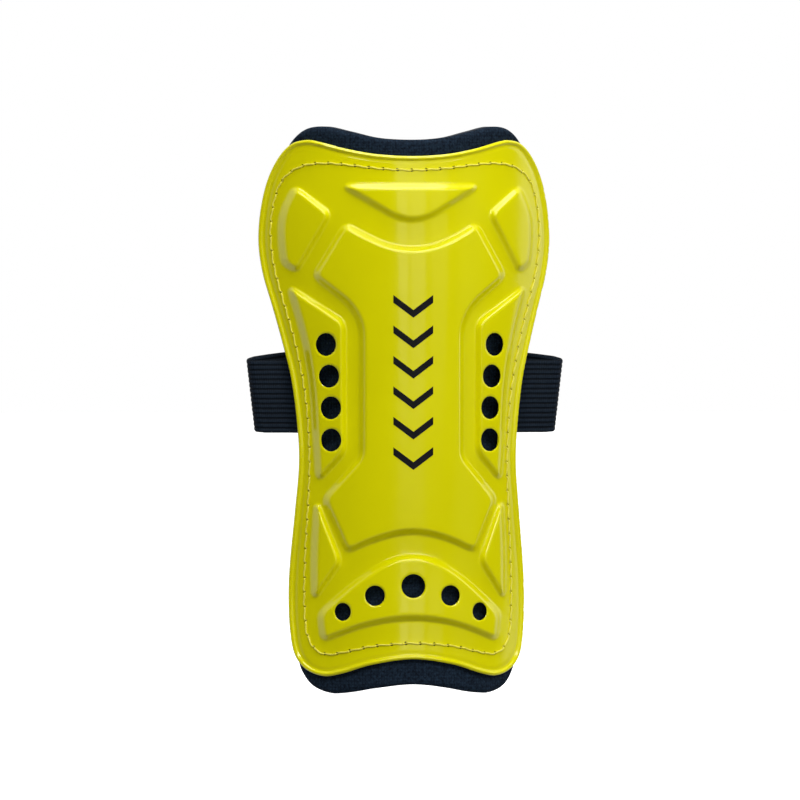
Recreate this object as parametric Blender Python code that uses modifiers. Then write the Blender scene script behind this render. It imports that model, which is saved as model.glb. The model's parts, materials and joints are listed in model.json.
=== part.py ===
"""Shin guard for ball sports: a formed plastic shell sewn to a foam pad, with an elastic strap behind it.

Frame: +Z runs up the shin towards the knee, -Y is the front (the struck side) and +X is the wearer's side
that lies to the right when the guard is seen from the front. The origin is on the lining's inner surface,
on the centre line, at the strap's mid-height. Dimensions are in millimetres; meshes are in metres.
"""
import math

import bpy
import numpy as np
from mathutils import Vector
from mathutils.geometry import delaunay_2d_cdt

MM = 0.001
PRODUCT = "shin_guard"

# Layers, counted along the surface normal from the shell's outer face (n = 0) towards the leg
SHELL_THICK = 1.4
LAYER_GAP = 0.5
FABRIC_THICK = 0.6
FOAM_THICK = 4.5
FACE_N = -(SHELL_THICK + LAYER_GAP)
FOAM_N = FACE_N - FABRIC_THICK - LAYER_GAP
LINING_N = FOAM_N - FOAM_THICK - LAYER_GAP
PAD_DEPTH = -(LINING_N - FABRIC_THICK)

# Cross-section y = x^2 / (2 p), a little tighter at the ankle than at the calf
SECTION_P = 50.0
SECTION_TAPER = 0.05
# Lengthwise, the top leans back and the ankle end kicks forward
TOP_LEAN, TOP_LEAN_FROM, TOP_END = 4.0, 40.0, 105.0
ANKLE_KICK, ANKLE_KICK_FROM, ANKLE_END = 4.0, -55.0, -115.0

# Right half of each outline (x, z), from the middle of the top edge down to the middle of the bottom edge
SHELL_HALF = [
    (0, 96.6), (14, 97.4), (26, 99.6), (36, 102.4), (41, 103.1), (46.5, 101.6), (51.4, 96.2), (55.6, 87),
    (58.2, 75), (59, 62), (57.4, 49.4), (53.8, 36), (50.2, 22), (46.8, 7), (44.6, -11), (43.9, -27),
    (45.4, -46.6), (47.1, -65.8), (47.7, -79), (47.3, -93), (45.6, -103.5), (41.4, -109.4), (35, -111.9),
    (28, -110.8), (16, -107), (0, -104.8),
]
PAD_HALF = [
    (0, 103.2), (14, 104), (26, 106.6), (36, 108.6), (43.6, 106.8), (50, 99.5), (54, 88), (56.8, 75),
    (57.4, 62), (55.8, 49.4), (52.2, 36), (48.6, 22), (45.2, 7), (43, -11), (42.3, -27), (43.7, -46.6),
    (45.5, -65.8), (46.6, -79), (47.2, -93), (46.6, -102.5), (44.6, -110), (40.4, -116), (33.4, -118.8),
    (26, -118.3), (16, -116.6), (0, -115),
]
SEAM_HALF = [
    (0, 91), (10, 91.4), (18, 92.2), (26, 93.2), (34, 93.8), (41.5, 93), (47, 90.2), (50.8, 85.5),
    (53, 78.5), (54.2, 70), (54.2, 62), (52.8, 51), (49.6, 38.5), (46, 25), (43.2, 12), (41.2, -1),
    (40.2, -14), (39.8, -28), (40.4, -45), (41.2, -60), (41.7, -75), (41.6, -86), (40.8, -95), (38, -101),
    (33.4, -103.2), (27, -102.2), (17, -99.8), (8, -98.8), (0, -98.4),
]
OUTLINE_STEPS = 2

# Raised panels: the middle line of each panel's sloping wall (x, z), right side or symmetric, and its height
WALL_HALF = 1.3
CHEVRON_HEIGHT, SHIELD_HEIGHT, LENS_HEIGHT = 2.4, 3.0, 2.8
WING_HEIGHT, SIDE_HEIGHT, WEDGE_HEIGHT = 3.0, 3.2, 3.2
CHEVRON = [(27, 84.5), (7, 72.4), (0, 70.8), (-7, 72.4), (-27, 84.5)]
WING = [(45.4, 84.2), (32.4, 73.4), (45, 50.6), (49.6, 53.6), (50.8, 64), (50.2, 74)]
SHIELD_HALF = [
    (0, 59), (9, 60.2), (18, 64), (26.4, 69), (38.2, 48.6), (24.5, 37.5), (20, 29), (20, -24), (34.5, -41),
    (25.8, -61.6), (14, -56), (0, -52.8),
]
SIDE_PANEL = [(47.4, 44), (27.2, 30), (27, -22), (36.6, -33), (37.8, -14), (38.6, 3), (41.4, 22)]
WEDGE = [(37.2, -42.6), (28.4, -65.7), (38.2, -80.6), (38.4, -62)]
LENS_HALF = [(0, -63.4), (9, -65.2), (20, -72), (29, -80), (36.2, -87), (35, -97.4), (18, -90.2), (0, -87.6)]

# Vent holes (x, z, radius), right side or on the centre line
SIDE_VENTS = [(34, 21.1, 4.6), (32.8, 8.4, 4.6), (32.1, -4.3, 4.6), (32, -17.2, 4.6)]
ANKLE_VENTS = [(0, -75.5, 4.8), (15.2, -79.4, 4.1), (27.6, -86, 3.6)]
VENT_SIDES = 12

# Tessellation of the curved sheets
GRID_X = 5.5
GRID_Z = 15.0
EDGE_CLEAR = 3.0
PANEL_CLEAR = 2.2

# Lockstitch round the edge
THREAD_RADIUS = 0.25
THREAD_GAP = 0.5

# Elastic strap
STRAP_WIDTH = 29.2
STRAP_THICK = 1.2
SEWN_END_X = 37.0
POCKET_X, POCKET_Z, POCKET_RAMP = 35.0, 16.0, 8.0
POCKET_DEPTH = 1.8
HINGE_X, HINGE_Y = 58.9, 21.0
FOLD_RADIUS = 3.0
FOLD_TILT = math.radians(6.5)
FOLD_RISE = 1.6
CLOSURE_HALF = 22.0
CLOSURE_Y = 36.0
CLOSURE_Z = 4.3
PIECE_GAP = 0.3
STRAP_ROWS = 4

# Hook-and-loop closure: the left webbing ends in the hook tab, outside the right webbing's loop patch
PATCH_THICK = 0.8
LAYER_STEP = STRAP_THICK + 2 * PATCH_THICK + 3 * PIECE_GAP
TAB_ROOT_X = -12.3
TAB_END_X = 22.0
LOOP_END_X = -14.0
HOOK_X = (-7.0, 20.0)
LOOP_X = (-12.0, 20.5)
PATCH_WIDTH = 25.0
STITCH_MARGIN = 2.0
STITCH_SINK = 0.1


def clear_scene():
    for obj in list(bpy.data.objects):
        bpy.data.objects.remove(obj, do_unlink=True)


def make_material(name, colour, roughness, metallic=0.0):
    material = bpy.data.materials.new(name)
    material.use_nodes = True
    shader = material.node_tree.nodes["Principled BSDF"]
    shader.inputs["Base Color"].default_value = (*colour, 1.0)
    shader.inputs["Roughness"].default_value = roughness
    shader.inputs["Metallic"].default_value = metallic
    return material


def add_object(name, data, material, collection):
    obj = bpy.data.objects.new(name, data)
    obj.data.materials.append(material)
    collection.objects.link(obj)
    return obj


def add_thickness(obj, thickness, offset):
    solidify = obj.modifiers.new("thickness", "SOLIDIFY")
    solidify.thickness = thickness * MM
    solidify.offset = offset
    solidify.use_even_offset = False


# ---- the curved base surface ----

def smoothstep(t):
    t = np.clip(t, 0.0, 1.0)
    return t * t * (3.0 - 2.0 * t)


def section_p(z):
    return SECTION_P + SECTION_TAPER * z


def lean(z):
    back = np.clip((z - TOP_LEAN_FROM) / (TOP_END - TOP_LEAN_FROM), 0.0, None) ** 2
    kick = np.clip((z - ANKLE_KICK_FROM) / (ANKLE_END - ANKLE_KICK_FROM), 0.0, None) ** 2
    return TOP_LEAN * back - ANKLE_KICK * kick


def pocket(x, z):
    """How far the pad is pushed in by the strap's sewn ends."""
    across = np.clip((np.abs(x) - POCKET_X + POCKET_RAMP) / POCKET_RAMP, 0.0, 1.0)
    along = np.clip((POCKET_Z + POCKET_RAMP - np.abs(z)) / POCKET_RAMP, 0.0, 1.0)
    return POCKET_DEPTH * across * along


def surface(x, z, n):
    """Point at distance n outside the shell's base surface, above the plan point (x, z)."""
    p = section_p(z)
    length = np.sqrt(1.0 + (x / p) ** 2)
    y = -PAD_DEPTH + x * x / (2.0 * p) + lean(z)
    return np.stack([x + n * (x / p) / length, y - n / length, z], axis=-1)


# ---- plan outlines ----

def closed_outline(right_half):
    """The whole closed outline from its right half, which starts and ends on the centre line."""
    left_half = [(-x, z) for x, z in reversed(right_half[1:-1])]
    return np.array(list(right_half) + left_half, float)


def mirrored(points):
    return np.array([(-x, z) for x, z in reversed(points)], float)


def smooth_closed(points, steps):
    """Catmull-Rom curve through a closed ring of points."""
    before, after, second = np.roll(points, 1, 0), np.roll(points, -1, 0), np.roll(points, -2, 0)
    rows = []
    for t in np.arange(steps) / steps:
        rows.append(0.5 * (
            2 * points
            + (after - before) * t
            + (2 * before - 5 * points + 4 * after - second) * t ** 2
            + (3 * points - before - 3 * after + second) * t ** 3
        ))
    return np.stack(rows, axis=1).reshape(-1, 2)


def inside(points, ring):
    """Even-odd test of many points against one ring."""
    x, z = points[:, 0:1], points[:, 1:2]
    ax, az = ring[:, 0], ring[:, 1]
    bx, bz = np.roll(ax, -1), np.roll(az, -1)
    crosses = (az > z) != (bz > z)
    rise = np.where(bz == az, 1.0, bz - az)
    at_x = ax + (z - az) / rise * (bx - ax)
    return (crosses & (x < at_x)).sum(1) % 2 == 1


def signed_distance(points, ring):
    """Distance to the ring, positive inside it."""
    a, b = ring, np.roll(ring, -1, 0)
    span = b - a
    rel = points[:, None, :] - a[None]
    t = np.clip((rel * span).sum(2) / (span * span).sum(1), 0.0, 1.0)
    near = np.linalg.norm(rel - t[..., None] * span, axis=2).min(1)
    return np.where(inside(points, ring), near, -near)


def signed_area(ring):
    after = np.roll(ring, -1, 0)
    return 0.5 * (ring[:, 0] * after[:, 1] - after[:, 0] * ring[:, 1]).sum()


def offset_ring(ring, distance):
    """The ring moved inwards by distance (outwards if negative), with mitred corners."""
    along = np.roll(ring, -1, 0) - ring
    along /= np.linalg.norm(along, axis=1)[:, None]
    inward = np.stack([along[:, 1], -along[:, 0]], axis=1)
    if signed_area(ring) > 0:
        inward = -inward
    mitre = inward + np.roll(inward, 1, 0)
    mitre /= np.maximum((mitre * mitre).sum(1), 0.8)[:, None] / 2.0
    return ring + distance * mitre


def all_panels():
    """Every raised panel as (ring, height)."""
    pairs = [(WING, WING_HEIGHT), (SIDE_PANEL, SIDE_HEIGHT), (WEDGE, WEDGE_HEIGHT)]
    panels = [(np.array(CHEVRON, float), CHEVRON_HEIGHT)]
    panels += [(closed_outline(SHIELD_HALF), SHIELD_HEIGHT), (closed_outline(LENS_HALF), LENS_HEIGHT)]
    for points, height in pairs:
        panels += [(np.array(points, float), height), (mirrored(points), height)]
    return panels


def relief(points):
    """Height of the raised panels above the base surface, measured towards the front."""
    height = np.zeros(len(points))
    for ring, panel_height in all_panels():
        rise = (signed_distance(points, ring) + WALL_HALF) / (2.0 * WALL_HALF)
        height = np.maximum(height, panel_height * np.clip(rise, 0.0, 1.0))
    return height


def vent_rings():
    """Every vent hole as a ring: round on the curved surface, so narrower in plan on the flanks."""
    vents = [*SIDE_VENTS, *ANKLE_VENTS]
    vents += [(-x, z, radius) for x, z, radius in vents if x]
    rings = []
    for x, z, radius in vents:
        narrow = 1.0 / math.hypot(1.0, x / section_p(z))
        turn = np.arange(VENT_SIDES) * 2 * math.pi / VENT_SIDES
        rings.append(np.stack([x + narrow * radius * np.cos(turn), z + radius * np.sin(turn)], axis=1))
    return rings


# ---- curved sheets ----

def grid_points(outline, clear_of):
    """Inner points of a sheet: a plan grid, kept clear of the outline and of the other rings."""
    low, high = outline.min(0), outline.max(0)
    xs = np.arange(0.0, high[0], GRID_X)
    xs = np.concatenate([-xs[:0:-1], xs])
    zs = np.arange(low[1], high[1], GRID_Z)
    grid = np.array([(x, z) for z in zs for x in xs])
    keep = signed_distance(grid, outline) > EDGE_CLEAR
    for ring in clear_of:
        keep &= np.abs(signed_distance(grid, ring)) > PANEL_CLEAR
    return grid[keep]


def divided(ring):
    """The ring with its long edges split, so that they follow the curved surface."""
    points = []
    for here, there in zip(ring, np.roll(ring, -1, 0)):
        step = np.abs(there - here) / (GRID_X, GRID_Z)
        count = max(1, math.ceil(step.max() - 1e-6))
        points += [here + (there - here) * i / count for i in range(count)]
    return np.array(points)


def triangulate(outline, holes, ridges, extra):
    """Plan points and triangles of a sheet with holes, whose edges follow the ridges."""
    rings = [divided(ring) for ring in [outline, *holes, *ridges]]
    points, edges = [], []
    for ring in rings:
        first = sum(len(r) for r in points)
        points.append(ring)
        count = len(ring)
        edges += [(first + i, first + (i + 1) % count) for i in range(count)]
    points.append(grid_points(outline, [*holes, *ridges]))
    points.append(extra)
    flat = np.concatenate(points)
    plan, _, faces, *_ = delaunay_2d_cdt([Vector(p) for p in flat], edges, [], 0, 1e-5)
    plan = np.array([tuple(p) for p in plan])
    faces = np.array([tuple(f) for f in faces])
    centre = plan[faces].mean(1)
    keep = inside(centre, outline)
    for ring in holes:
        keep &= ~inside(centre, ring)
    return plan, faces[keep]


def sheet_mesh(name, plan, faces, points):
    used = np.unique(faces)
    renumber = np.full(len(plan), -1)
    renumber[used] = np.arange(len(used))
    mesh = bpy.data.meshes.new(name)
    mesh.from_pydata((points[used] * MM).tolist(), [], renumber[faces].tolist())
    mesh.update()
    mesh.shade_smooth()
    mesh.set_sharp_from_angle(angle=math.radians(35))
    return mesh


def make_shell(collection, material):
    outline = smooth_closed(closed_outline(SHELL_HALF), OUTLINE_STEPS)
    vents = vent_rings()
    ridges = []
    for ring, _ in all_panels():
        ridges += [offset_ring(ring, WALL_HALF), offset_ring(ring, -WALL_HALF)]
    plan, faces = triangulate(outline, vents, ridges, np.zeros((0, 2)))
    points = surface(plan[:, 0], plan[:, 1], 0.0)
    points[:, 1] -= relief(plan)
    obj = add_object("shell", sheet_mesh("shell", plan, faces, points), material, collection)
    add_thickness(obj, SHELL_THICK, -1.0)


def make_pad_layer(name, outer_n, thickness, collection, material):
    """One layer of the pad: a sheet behind the shell, pushed in where the strap's ends lie."""
    outline = smooth_closed(closed_outline(PAD_HALF), OUTLINE_STEPS)
    pocket_x = np.arange(POCKET_X - POCKET_RAMP, outline[:, 0].max(), POCKET_RAMP)
    pocket_z = (POCKET_Z, POCKET_Z + POCKET_RAMP)
    extra = np.array([(a * x, b * z) for x in pocket_x for z in pocket_z for a in (-1, 1) for b in (-1, 1)])
    extra = extra[signed_distance(extra, outline) > 1.0]
    plan, faces = triangulate(outline, [], [], extra)
    points = surface(plan[:, 0], plan[:, 1], outer_n - pocket(plan[:, 0], plan[:, 1]))
    obj = add_object(name, sheet_mesh(name, plan, faces, points), material, collection)
    add_thickness(obj, thickness, -1.0)


# ---- seam threads ----

def make_tube(name, points, collection, material, radius=THREAD_RADIUS):
    """A closed loop of thread."""
    curve = bpy.data.curves.new(name, "CURVE")
    curve.dimensions = "3D"
    curve.bevel_depth = radius * MM
    curve.bevel_resolution = 2
    curve.resolution_u = 1
    curve.render_resolution_u = 0
    spline = curve.splines.new("POLY")
    spline.points.add(len(points) - 1)
    for knot, point in zip(spline.points, points):
        knot.co = (*(np.asarray(point) * MM), 1.0)
    spline.use_cyclic_u = True
    return add_object(name, curve, material, collection)


def make_perimeter_threads(collection, yellow, dark):
    seam = smooth_closed(closed_outline(SEAM_HALF), OUTLINE_STEPS)
    x, z = seam[:, 0], seam[:, 1]
    stand_off = THREAD_GAP + THREAD_RADIUS
    make_tube("perimeter_needle_thread", surface(x, z, stand_off), collection, yellow)
    inner = -PAD_DEPTH - stand_off - pocket(x, z)
    make_tube("perimeter_bobbin_thread", surface(x, z, inner), collection, dark)


# ---- elastic strap ----

def shell_half_width(z):
    outline = smooth_closed(closed_outline(SHELL_HALF), 8)
    right = outline[outline[:, 0] > 30.0]
    order = np.argsort(right[:, 1])
    return float(np.interp(z, right[order, 1], right[order, 0]))


def side_point(share, z):
    """Front run of the webbing, from the sewn end under the shell (0) to the start of the fold (1)."""
    edge = shell_half_width(z)
    end_x = HINGE_X + z * math.sin(FOLD_TILT)
    x = SEWN_END_X + share * (end_x - SEWN_END_X)
    mid_n = FACE_N - STRAP_THICK / 2 + LAYER_GAP - PIECE_GAP
    held = surface(np.float64(min(x, edge)), np.float64(z), mid_n)
    if x <= edge:
        return held
    past = (x - edge) / (end_x - edge)
    free = smoothstep(past)
    leaving = held[1] + edge / section_p(z) * (x - edge) * (1.0 - free)
    return np.array([
        held[0] + (end_x - held[0]) * past,
        leaving * (1.0 - free) + (HINGE_Y - FOLD_RADIUS) * free,
        z,
    ])


def fold_point(turn, v):
    """The fold: a half turn about the hinge line, from -90 to +90 degrees, that climbs as it goes round."""
    out = FOLD_RADIUS * math.cos(turn)
    v = v + FOLD_RISE * (0.5 + turn / math.pi)
    return np.array([
        HINGE_X + out * math.cos(FOLD_TILT) + v * math.sin(FOLD_TILT),
        HINGE_Y + FOLD_RADIUS * math.sin(turn),
        v * math.cos(FOLD_TILT) - out * math.sin(FOLD_TILT),
    ])


def band_point(x, v, extra_y):
    """Rear run of the webbing behind the leg, at plan place x; extra_y lifts the outer layer."""
    share = np.clip((abs(x) - CLOSURE_HALF) / (HINGE_X - CLOSURE_HALF), 0.0, 1.0)
    crown = 1.0 - share ** 2
    tilt = FOLD_TILT * share
    y = HINGE_Y + FOLD_RADIUS + (CLOSURE_Y + extra_y - HINGE_Y - FOLD_RADIUS) * crown
    z = FOLD_RISE + (CLOSURE_Z - FOLD_RISE) * crown
    return np.array([x + v * math.sin(tilt), y, z + v * math.cos(tilt)])


def make_ribbon(name, rows, side, thickness, collection, material):
    """A strip of webbing from rows of points across its width; side -1 mirrors it to the left."""
    points = np.array(rows)
    count, across = points.shape[:2]
    points[..., 0] *= side
    faces = []
    for i in range(count - 1):
        for j in range(across - 1):
            a = i * across + j
            quad = (a, a + across, a + across + 1, a + 1)
            faces.append(quad if side > 0 else quad[::-1])
    mesh = bpy.data.meshes.new(name)
    mesh.from_pydata((points.reshape(-1, 3) * MM).tolist(), [], faces)
    mesh.update()
    obj = add_object(name, mesh, material, collection)
    add_thickness(obj, thickness, 0.0)
    return obj


def across_width(width):
    return np.linspace(-width / 2, width / 2, STRAP_ROWS + 1)


def band_rows(x_from, x_to, steps, width, extra_y):
    xs = np.linspace(x_from, x_to, steps)
    return [[band_point(x, v, extra_y) for v in across_width(width)] for x in xs]


def make_strap_side(side, collection, webbing):
    tag = "right" if side > 0 else "left"
    gap_share = PIECE_GAP / (HINGE_X - SEWN_END_X)
    shares = np.linspace(0.0, 1.0 - gap_share, 10)
    rows = [[side_point(share, v) for v in across_width(STRAP_WIDTH)] for share in shares]
    make_ribbon(f"strap_{tag}_side", rows, side, STRAP_THICK, collection, webbing)
    turns = np.linspace(-math.pi / 2, math.pi / 2, 9)
    rows = [[fold_point(t, v) for v in across_width(STRAP_WIDTH)] for t in turns]
    make_ribbon(f"strap_{tag}_fold", rows, side, STRAP_THICK, collection, webbing)


def make_bands(collection, webbing):
    """The two rear runs. The left one is the outer layer, and its end is the tab that peels off."""
    start = HINGE_X - PIECE_GAP
    rows = band_rows(start, LOOP_END_X, 13, STRAP_WIDTH, 0.0)
    make_ribbon("strap_right_band", rows, 1, STRAP_THICK, collection, webbing)
    rows = band_rows(start, -TAB_ROOT_X + PIECE_GAP, 10, STRAP_WIDTH, LAYER_STEP)
    make_ribbon("strap_left_band", rows, -1, STRAP_THICK, collection, webbing)
    rows = band_rows(-TAB_ROOT_X, -TAB_END_X, 2, STRAP_WIDTH, LAYER_STEP)
    make_ribbon("hook_tab", rows, -1, STRAP_THICK, collection, webbing)


def make_patches(collection, hook, loop):
    step = STRAP_THICK / 2 + PIECE_GAP + PATCH_THICK / 2
    rows = band_rows(-HOOK_X[0], -HOOK_X[1], 2, PATCH_WIDTH, LAYER_STEP - step)
    make_ribbon("hook_patch", rows, -1, PATCH_THICK, collection, hook)
    rows = band_rows(LOOP_X[1], LOOP_X[0], 2, PATCH_WIDTH, step)
    make_ribbon("loop_patch", rows, 1, PATCH_THICK, collection, loop)


def make_box_stitch(name, patch_x, webbing_name, out, mid_y, collections, thread):
    """A rectangle of thread pulled into the webbing's face on the side away from its patch."""
    parts, cutters = collections
    half = PATCH_WIDTH / 2 - STITCH_MARGIN
    left, right = patch_x[0] + STITCH_MARGIN, patch_x[1] - STITCH_MARGIN
    y = mid_y + out * (STRAP_THICK / 2 - STITCH_SINK - THREAD_RADIUS)
    corners = [(left, -half), (right, -half), (right, half), (left, half)]
    path = [(x, y, CLOSURE_Z + v) for x, v in corners]
    make_tube(name, path, parts, thread)
    groove = make_tube(f"{name}_groove", path, cutters, thread, THREAD_RADIUS + PIECE_GAP)
    evaluated = groove.evaluated_get(bpy.context.evaluated_depsgraph_get())
    cutter = add_object(f"{name}_cutter", bpy.data.meshes.new_from_object(evaluated), thread, cutters)
    bpy.data.objects.remove(groove)
    cutter.hide_render = True
    cutter.display_type = "WIRE"
    cut = bpy.data.objects[webbing_name].modifiers.new("stitch_groove", "BOOLEAN")
    cut.object = cutter


def hinge_empties(collection):
    """Empties on the three joints' axes, for whoever poses the model by hand."""
    places = {
        "axis_strap_left": (-HINGE_X, HINGE_Y, 0.0),
        "axis_strap_right": (HINGE_X, HINGE_Y, 0.0),
        "axis_hook_tab": (TAB_ROOT_X, CLOSURE_Y + LAYER_STEP + STRAP_THICK / 2, CLOSURE_Z),
    }
    empties = {}
    for name, place in places.items():
        empty = bpy.data.objects.new(name, None)
        empty.location = Vector(place) * MM
        empty.empty_display_size = 0.01
        collection.objects.link(empty)
        empties[name] = empty
    empties["axis_strap_left"].rotation_euler[1] = -FOLD_TILT
    empties["axis_strap_right"].rotation_euler[1] = FOLD_TILT
    bpy.context.view_layer.update()
    carried = {
        "axis_strap_left": ["strap_left_band"],
        "axis_strap_right": ["strap_right_band", "loop_patch", "loop_patch_thread"],
        "axis_hook_tab": ["hook_tab", "hook_patch", "hook_patch_thread"],
    }
    for axis, names in carried.items():
        for name in names:
            child = bpy.data.objects[name]
            child.parent = empties[axis]
            child.matrix_parent_inverse = empties[axis].matrix_world.inverted()


def main():
    clear_scene()
    collection = bpy.data.collections.new(PRODUCT)
    cutters = bpy.data.collections.new("cutters")
    bpy.context.scene.collection.children.link(collection)
    bpy.context.scene.collection.children.link(cutters)
    plastic = make_material("yellow_plastic", (0.60, 0.60, 0.01), 0.22)
    navy = make_material("navy_knit", (0.010, 0.018, 0.032), 0.85)
    foam = make_material("dark_foam", (0.02, 0.022, 0.028), 0.9)
    webbing = make_material("black_elastic", (0.012, 0.016, 0.024), 0.7)
    hook = make_material("black_hook", (0.015, 0.015, 0.017), 0.5)
    loop = make_material("black_loop", (0.012, 0.012, 0.014), 0.95)
    yellow_thread = make_material("yellow_thread", (0.62, 0.58, 0.03), 0.6)
    dark_thread = make_material("dark_thread", (0.02, 0.02, 0.025), 0.6)
    make_shell(collection, plastic)
    make_pad_layer("face_fabric", FACE_N, FABRIC_THICK, collection, navy)
    make_pad_layer("foam_pad", FOAM_N, FOAM_THICK, collection, foam)
    make_pad_layer("lining_fabric", LINING_N, FABRIC_THICK, collection, navy)
    make_perimeter_threads(collection, yellow_thread, dark_thread)
    for side in (-1, 1):
        make_strap_side(side, collection, webbing)
    make_bands(collection, webbing)
    make_patches(collection, hook, loop)
    both = (collection, cutters)
    rear_y = CLOSURE_Y + LAYER_STEP
    make_box_stitch("hook_patch_thread", HOOK_X, "hook_tab", 1, rear_y, both, dark_thread)
    make_box_stitch("loop_patch_thread", LOOP_X, "strap_right_band", -1, CLOSURE_Y, both, dark_thread)
    hinge_empties(collection)


main()
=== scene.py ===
"""Shin guard, the visual model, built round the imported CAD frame.

Frame: +Z up the shin, -Y out of the front of the shell, +X to the right seen from the front. Lengths are in
millimetres until a mesh is made, and meshes are in metres. The curved base surface is the CAD's.
"""
import json
import math

import bpy
import numpy as np
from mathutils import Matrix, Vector
from mathutils.geometry import delaunay_2d_cdt


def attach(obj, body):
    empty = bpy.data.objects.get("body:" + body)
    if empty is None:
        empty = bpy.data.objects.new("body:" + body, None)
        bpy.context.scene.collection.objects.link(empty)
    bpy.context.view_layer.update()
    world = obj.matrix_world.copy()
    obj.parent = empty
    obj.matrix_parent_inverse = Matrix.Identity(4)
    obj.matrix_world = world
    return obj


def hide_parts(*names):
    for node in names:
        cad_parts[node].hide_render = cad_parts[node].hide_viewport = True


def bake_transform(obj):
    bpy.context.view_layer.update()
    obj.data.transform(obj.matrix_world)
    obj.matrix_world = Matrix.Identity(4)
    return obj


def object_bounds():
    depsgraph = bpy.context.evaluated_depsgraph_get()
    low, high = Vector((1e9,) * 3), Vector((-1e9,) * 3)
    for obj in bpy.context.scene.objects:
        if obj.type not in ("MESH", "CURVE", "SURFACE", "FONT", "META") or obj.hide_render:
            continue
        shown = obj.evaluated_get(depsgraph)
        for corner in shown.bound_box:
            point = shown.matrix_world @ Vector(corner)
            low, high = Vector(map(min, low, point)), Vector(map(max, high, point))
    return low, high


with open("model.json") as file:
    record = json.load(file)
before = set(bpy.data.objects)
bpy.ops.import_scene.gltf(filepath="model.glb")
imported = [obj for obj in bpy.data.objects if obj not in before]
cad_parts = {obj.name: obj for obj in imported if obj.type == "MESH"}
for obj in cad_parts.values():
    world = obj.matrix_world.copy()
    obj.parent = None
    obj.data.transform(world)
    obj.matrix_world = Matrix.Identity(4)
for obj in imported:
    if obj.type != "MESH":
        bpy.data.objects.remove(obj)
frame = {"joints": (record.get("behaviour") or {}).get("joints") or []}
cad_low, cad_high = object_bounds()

MM = 0.001
JOINTS = {joint["name"]: joint for joint in frame["joints"]}

# Layers. n is a place along the surface normal: 0 at the shell's outer face, and negative towards the leg
SHELL_THICK = 1.4
LAYER_GAP = 0.5
FABRIC_THICK = 0.6
FOAM_THICK = 4.5
FACE_N = -(SHELL_THICK + LAYER_GAP)
FOAM_N = FACE_N - FABRIC_THICK - LAYER_GAP
LINING_N = FOAM_N - FOAM_THICK - LAYER_GAP
PAD_DEPTH = -(LINING_N - FABRIC_THICK)

# Base surface: section y = x^2 / (2 p), the top leaning back and the ankle end kicked forward
SECTION_P = 50.0
SECTION_TAPER = 0.05
TOP_LEAN, TOP_LEAN_FROM, TOP_END = 4.0, 40.0, 105.0
ANKLE_KICK, ANKLE_KICK_FROM, ANKLE_END = 4.0, -55.0, -115.0

# Right half of each outline (x, z), from the middle of the top edge down to the middle of the bottom edge
SHELL_HALF = [
    (0, 96.6), (14, 97.4), (26, 99.6), (36, 102.4), (41, 103.1), (46.5, 101.6), (51.4, 96.2), (55.6, 87),
    (58.2, 75), (59, 62), (57.4, 49.4), (53.8, 36), (50.2, 22), (46.8, 7), (44.6, -11), (43.9, -27),
    (45.4, -46.6), (47.1, -65.8), (47.7, -79), (47.3, -93), (45.6, -103.5), (41.4, -109.4), (35, -111.9),
    (28, -110.8), (16, -107), (0, -104.8),
]
PAD_HALF = [
    (0, 103.2), (14, 104), (26, 106.6), (36, 108.6), (43.6, 106.8), (50, 99.5), (54, 88), (56.8, 75),
    (57.4, 62), (55.8, 49.4), (52.2, 36), (48.6, 22), (45.2, 7), (43, -11), (42.3, -27), (43.7, -46.6),
    (45.5, -65.8), (46.6, -79), (47.2, -93), (46.6, -102.5), (44.6, -110), (40.4, -116), (33.4, -118.8),
    (26, -118.3), (16, -116.6), (0, -115),
]
SEAM_HALF = [
    (0, 91), (10, 91.4), (18, 92.2), (26, 93.2), (34, 93.8), (41.5, 93), (47, 90.2), (50.8, 85.5),
    (53, 78.5), (54.2, 70), (54.2, 62), (52.8, 51), (49.6, 38.5), (46, 25), (43.2, 12), (41.2, -1),
    (40.2, -14), (39.8, -28), (40.4, -45), (41.2, -60), (41.7, -75), (41.6, -86), (40.8, -95), (38, -101),
    (33.4, -103.2), (27, -102.2), (17, -99.8), (8, -98.8), (0, -98.4),
]

# Raised panels: the middle line of each sloping wall (x, z), and the panel's height
WALL_HALF = 1.6
CORNER, CORNER_SHARE = 3.0, 0.45
SHALLOW_TURN, SHALLOW_SHARE = math.radians(32), 0.49
CHEVRON = [(27, 84.5), (7, 72.4), (0, 70.8), (-7, 72.4), (-27, 84.5)]
WING = [(45.4, 84.2), (32.4, 73.4), (45, 50.6), (49.6, 53.6), (50.8, 64), (50.2, 74)]
SHIELD_HALF = [
    (0, 59), (9, 60.2), (18, 64), (26.4, 69), (38.2, 48.6), (24.5, 37.5), (20, 29), (20, -24), (34.5, -41),
    (25.8, -61.6), (14, -56), (0, -52.8),
]
SIDE_PANEL = [(47.4, 44), (27.2, 30), (27, -22), (36.6, -33), (37.8, -14), (38.6, 3), (41.4, 22)]
WEDGE = [(37.2, -42.6), (28.4, -65.7), (38.2, -80.6), (38.4, -62)]
LENS_HALF = [(0, -63.4), (9, -65.2), (20, -72), (29, -80), (36.2, -87), (35, -97.4), (18, -90.2), (0, -87.6)]
CHEVRON_HEIGHT, SHIELD_HEIGHT, LENS_HEIGHT = 2.4, 3.0, 2.8
WING_HEIGHT, SIDE_HEIGHT, WEDGE_HEIGHT = 3.0, 3.2, 3.2

# Vent holes (x, z, radius), right side or on the centre line
SIDE_VENTS = [(34, 21.1, 4.6), (32.8, 8.4, 4.6), (32.1, -4.3, 4.6), (32, -17.2, 4.6)]
ANKLE_VENTS = [(0, -75.5, 4.8), (15.2, -79.4, 4.1), (27.6, -86, 3.6)]
VENT_SIDES = 48
VENT_ROLL, VENT_ROLL_REACH, VENT_WALL_REACH = 0.35, 0.55, 0.6
VENT_LINES = (0.2, 0.45, 0.8, 1.2)

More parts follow.
